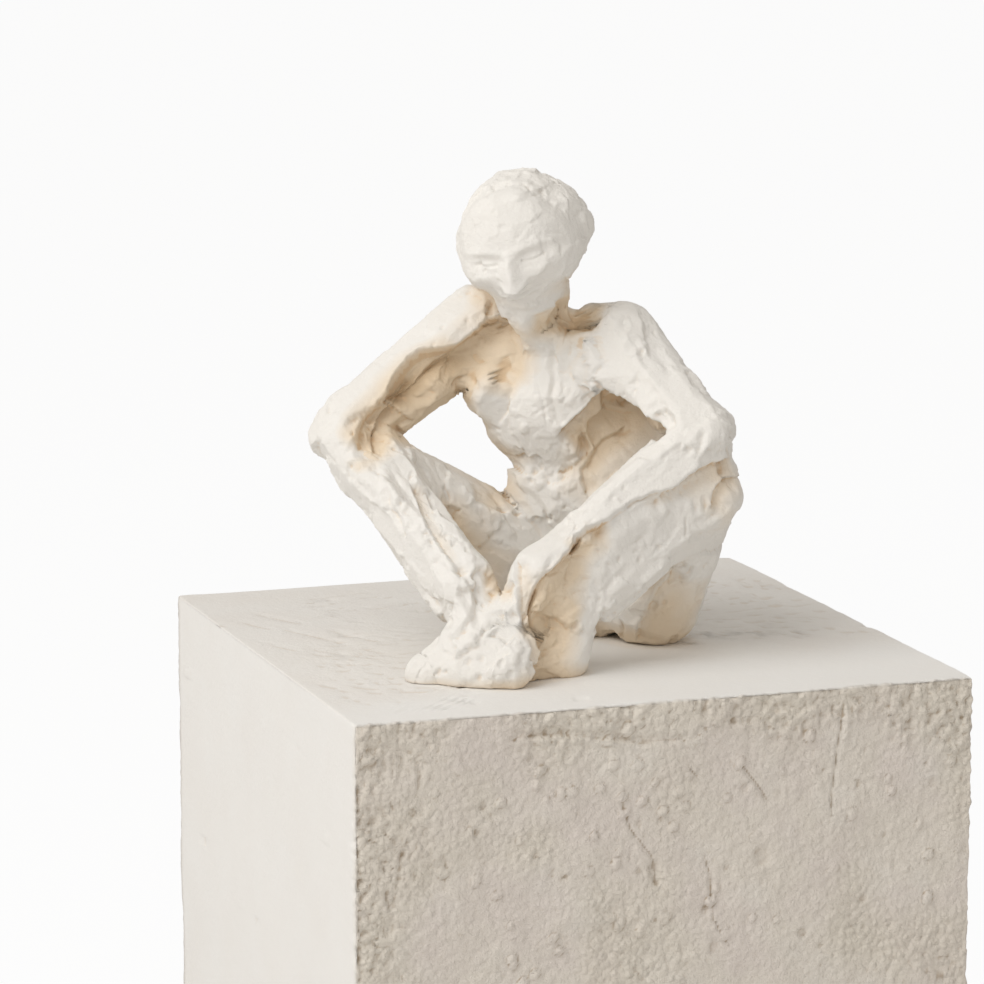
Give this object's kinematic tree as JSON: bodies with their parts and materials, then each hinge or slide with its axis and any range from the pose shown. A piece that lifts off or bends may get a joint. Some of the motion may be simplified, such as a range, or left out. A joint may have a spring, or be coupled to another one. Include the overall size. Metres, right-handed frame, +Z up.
{
  "type": "crouching plaster figurine on a block",
  "caption": "Crouching plaster figure with its elbows on its knees, luted to a square plaster block that stands on felt pads.",
  "frame": {"origin": "middle of the underside of the felt pads", "axes": "+Z up, -Y out of the block's front face, +X to the viewer's right when facing the front"},
  "size_m": [0.13, 0.13, 0.2288],
  "materials": {
    "modelled_plaster": "matte, worked by hand with knife and thumb",
    "cast_plaster": "matte, rough from a board mould, pitted and scratched",
    "steel": "drawn rod",
    "felt": "pressed felt"
  },
  "bodies": {
    "root": {"felt_pad_back_left": "felt", "felt_pad_back_right": "felt", "felt_pad_front_left": "felt", "felt_pad_front_right": "felt", "head": "modelled_plaster", "left_ankle_pin": "steel", "left_elbow_pin": "steel", "left_foot": "modelled_plaster", "left_foot_dowel": "steel", "left_forearm_and_hand": "modelled_plaster", "left_hip_pin": "steel", "left_knee_pin": "steel", "left_shin": "modelled_plaster", "left_shoulder_pin": "steel", "left_thigh": "modelled_plaster", "left_upper_arm": "modelled_plaster", "neck_pin": "steel", "plaster_block": "cast_plaster", "right_ankle_pin": "steel", "right_elbow_pin": "steel", "right_foot": "modelled_plaster", "right_foot_dowel": "steel", "right_forearm_and_hand": "modelled_plaster", "right_hip_pin": "steel", "right_knee_pin": "steel", "right_shin": "modelled_plaster", "right_shoulder_pin": "steel", "right_thigh": "modelled_plaster", "right_upper_arm": "modelled_plaster", "seat_dowel": "steel", "torso": "modelled_plaster"}
  },
  "joints": []
}
